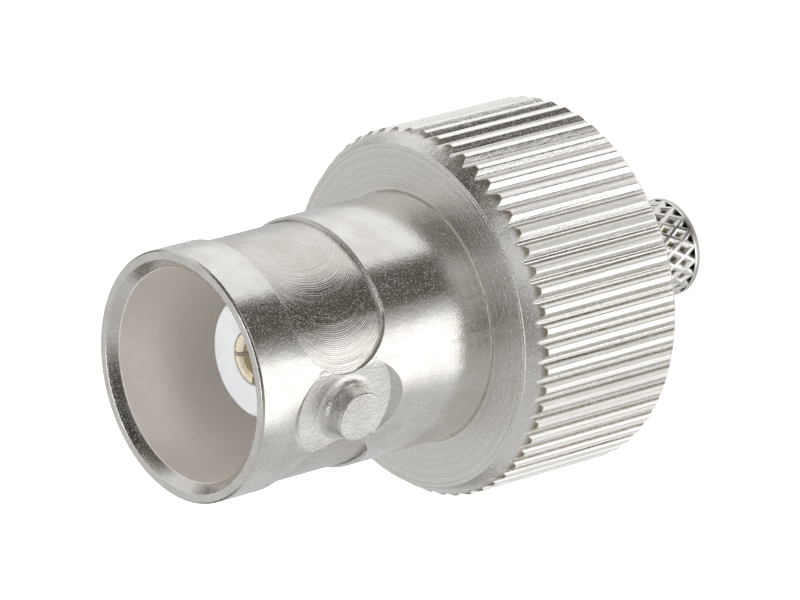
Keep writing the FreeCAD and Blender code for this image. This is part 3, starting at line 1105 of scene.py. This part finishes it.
@dataclass(kw_only=True)
class KnurledCollar(SoftenedPiece):
    """The collar with its straight knurl."""

    node: str = "knurled_collar"
    slot: str = "nickel_collar"
    groove_bottoms: Rounding = Rounding(width=0.12, radius=(6.9, 6.93), height=(5.95, 13.3))
    groove_crests: Rounding = Rounding(width=0.045, radius=(7.12, 7.2), height=(6.0, 12.6))

    def roundings(self) -> tuple[Rounding, ...]:
        """Round the bottoms of the grooves, and rub their crests."""
        return (self.groove_bottoms, self.groove_crests)


@dataclass(kw_only=True)
class CrimpStem(SoftenedPiece):
    """The stem with its crimp neck, whose fine knurl keeps sharper edges."""

    node: str = "crimp_stem"
    slot: str = "nickel_stem"
    edge: float = 0.012


@dataclass
class Floor:
    """The plain pale floor on which the jack stands, in metres."""

    side: float = 6.0
    shade: Colour = (0.92, 0.92, 0.92, 1.0)
    roughness: float = 0.9
    light: Colour = (1.0, 1.0, 1.0, 1.0)
    glow: float = 0.62

    def build(self) -> bpy.types.Object:
        """Add the floor, hidden from reflections.

        Returns:
            The floor.
        """
        bpy.ops.mesh.primitive_plane_add(size=self.side, location=(0.0, 0.0, 0.0))
        floor = bpy.context.active_object
        floor.name = "floor"
        material = bpy.data.materials.new("pale_floor")
        material.use_nodes = True
        shader = material.node_tree.nodes["Principled BSDF"]
        shader.inputs["Base Color"].default_value = self.shade
        shader.inputs["Roughness"].default_value = self.roughness
        shader.inputs["Emission Color"].default_value = self.light
        shader.inputs["Emission Strength"].default_value = self.glow
        floor.data.materials.append(material)
        floor.visible_glossy = False
        LOG.info("floor laid")
        return floor


@dataclass
class Studio:
    """Soft light all round the jack: four belts, one above the other, and a lamp overhead.

    Each belt is grey by azimuth in degrees, brighter than 1 where a lamp is. Each rise tells between which
    heights the next belt takes over, from -1 straight down to 1 straight up.
    """

    low: Stops = (
        (-180.0, 0.62), (-145.0, 0.62), (-45.0, 0.60), (-34.0, 0.7), (-20.0, 1.5), (22.0, 1.5), (36.0, 0.5),
        (48.0, 0.10), (84.0, 0.10), (91.0, 1.0), (160.0, 1.0), (176.0, 0.75), (180.0, 0.66),
    )
    level: Stops = (
        (-180.0, 0.15), (-170.0, 0.15), (-162.0, 0.5), (-150.0, 0.62), (-130.0, 0.5), (-122.0, 0.2),
        (-92.0, 0.15), (-84.0, 0.5), (-70.0, 0.62), (-45.0, 0.55), (-26.0, 0.54), (-14.0, 0.5),
        (-1.0, 0.42), (8.0, 0.36), (35.0, 0.6), (57.0, 0.72), (72.0, 0.45), (84.0, 0.24), (96.0, 0.1),
        (109.0, 0.07), (118.0, 0.12), (132.0, 0.5), (140.0, 0.85), (160.0, 0.8), (168.0, 0.3),
        (180.0, 0.15),
    )
    middle: Stops = (
        (-180.0, 0.62), (-120.0, 0.62), (-45.0, 0.55), (-26.0, 0.54), (-14.0, 0.48), (-1.0, 0.36),
        (8.0, 0.25), (15.0, 0.22), (23.0, 0.32), (35.0, 0.56), (47.0, 0.7), (57.0, 0.78), (64.0, 0.66),
        (72.0, 0.46), (84.0, 0.22), (96.0, 0.1), (109.0, 0.07), (118.0, 0.12), (124.0, 0.22),
        (132.0, 0.48), (140.0, 0.85), (170.0, 0.8), (180.0, 0.62),
    )
    high: Stops = (
        (-180.0, 0.62), (-60.0, 0.58), (-28.0, 0.5), (-8.0, 0.2), (5.0, 0.08), (35.0, 0.03), (98.0, 0.03),
        (112.0, 0.2), (125.0, 0.5), (150.0, 0.66), (180.0, 0.62),
    )
    rises: tuple[Span, ...] = ((-0.35, 0.0), (0.24, 0.4), (0.62, 0.72))
    lamp_rise: Span = (0.93, 0.98)
    overhead: Colour = (7.0, 7.05, 7.1, 1.0)
    reflected: Colour = (0.85, 0.86, 0.87, 1.0)
    ring_light: Colour = (6.0, 6.0, 6.0, 1.0)
    ring_fade: Span = (0.975, 0.965)
    warmth: tuple[float, float, float] = (1.09, 1.0, 0.87)
    warm_below: Span = (0.5, 0.12)

    def azimuth_ramp(self, desk: NodeDesk, share: Socket, stops: Stops) -> Socket:
        """Turn the azimuth's share into the grey of one belt.

        Args:
            desk: the desk of the world's tree.
            share: the azimuth, as a share of a full turn.
            stops: pairs of azimuth and grey.

        Returns:
            The grey as a colour.
        """
        brightest = max(grey for _, grey in stops)
        places = tuple((azimuth / 360.0 + 0.5, grey / brightest) for azimuth, grey in stops)
        scaled = desk.add("VectorMath", operation="SCALE")
        desk.feed(scaled.inputs[0], desk.ramp(share, places))
        scaled.inputs["Scale"].default_value = brightest
        return scaled.outputs[0]

    def lamp(self, desk: NodeDesk, up: Socket) -> Socket:
        """Make the overhead lamp, which reflections see as a pale sheet with a bright ring.

        Args:
            desk: the desk of the world's tree.
            up: how far up the direction points.

        Returns:
            The lamp's colour.
        """
        rays = desk.add("LightPath")
        seen = desk.tint(desk.step(up, *self.ring_fade), self.reflected, self.ring_light)
        return desk.tint(rays.outputs["Is Glossy Ray"], self.overhead, seen)

    def warmed(self, desk: NodeDesk, colour: Socket) -> Socket:
        """Warm the dark parts of the studio.

        Args:
            desk: the desk of the world's tree.
            colour: the light's colour.

        Returns:
            The colour, warm where it is dark.
        """
        warm = desk.add("VectorMath", operation="MULTIPLY")
        desk.feed(warm.inputs[0], colour)
        warm.inputs[1].default_value = self.warmth
        # A colour that is fed to a sum counts as its brightness.
        brightness = desk.larger(colour, 0.0)
        return desk.tint(desk.step(brightness, *self.warm_below), colour, warm.outputs[0])

    def build(self) -> bpy.types.World:
        """Make the world that lights the jack.

        Returns:
            The world.
        """
        world = bpy.data.worlds.new("studio")
        bpy.context.scene.world = world
        world.use_nodes = True
        desk = NodeDesk(world.node_tree)
        coordinates = desk.add("TexCoord")
        parts = desk.add("SeparateXYZ")
        desk.feed(parts.inputs[0], coordinates.outputs["Generated"])
        across, aside, up = parts.outputs
        share = desk.times_plus(desk.math("ARCTAN2", aside, across), 1.0 / FULL_TURN, 0.5)
        colour = self.azimuth_ramp(desk, share, self.low)
        for stops, rise in zip((self.level, self.middle, self.high), self.rises):
            colour = desk.tint(desk.step(up, *rise), colour, self.azimuth_ramp(desk, share, stops))
        colour = desk.tint(desk.step(up, *self.lamp_rise), colour, self.lamp(desk, up))
        background = world.node_tree.nodes["Background"]
        desk.feed(background.inputs["Color"], self.warmed(desk, colour))
        background.inputs["Strength"].default_value = 1.0
        LOG.info("studio lit")
        return world


@dataclass
class ViewingCamera:
    """The camera, at the photograph's viewing angle, in millimetres."""

    place: tuple[float, float, float] = (187.826, 131.518, 193.344)
    right: tuple[float, float, float] = (0.637130, 0.128018, -0.760051)
    forward: tuple[float, float, float] = (-0.645871, -0.449458, -0.617120)
    lens: float = 346.34
    sensor: float = 36.0
    nearest: float = 10.0
    farthest: float = 50000.0

    def build(self) -> bpy.types.Object:
        """Add the camera and make it the scene's.

        Returns:
            The camera.
        """
        data = bpy.data.cameras.new("camera")
        data.lens = self.lens
        data.sensor_width = self.sensor
        data.clip_start = self.nearest * MM
        data.clip_end = self.farthest * MM
        camera = bpy.data.objects.new("camera", data)
        bpy.context.scene.collection.objects.link(camera)
        back = -Vector(self.forward).normalized()
        side = Vector(self.right).normalized()
        upward = back.cross(side)
        turned = Matrix((side, upward, back)).transposed().to_4x4()
        camera.matrix_world = Matrix.Translation(Vector(self.place) * MM) @ turned
        bpy.context.scene.camera = camera
        LOG.info("camera placed")
        return camera


def main() -> None:
    """Build the studio and dress every piece."""
    logging.basicConfig(level=logging.INFO, format="%(name)s: %(message)s")
    bpy.context.scene.view_settings.view_transform = "Standard"
    ViewingCamera().build()
    Studio().build()
    Floor().build()
    patterns = Patterns()
    rear_white = WhiteFluoropolymer(patterns, name="white_fluoropolymer_rear")
    pieces = (
        BayonetBarrel(finish=BarrelNickel(patterns)),
        KnurledCollar(finish=CollarNickel(patterns)),
        CrimpStem(finish=StemNickel(patterns)),
        PackedPiece(node="front_insulator", finish=WhiteFluoropolymer(patterns)),
        PackedPiece(node="rear_insulator", finish=rear_white),
        PackedPiece(node="socket_contact", finish=PaleGold(patterns)),
    )
    for piece in pieces:
        piece.dress()


if __name__ == "__main__":
    main()
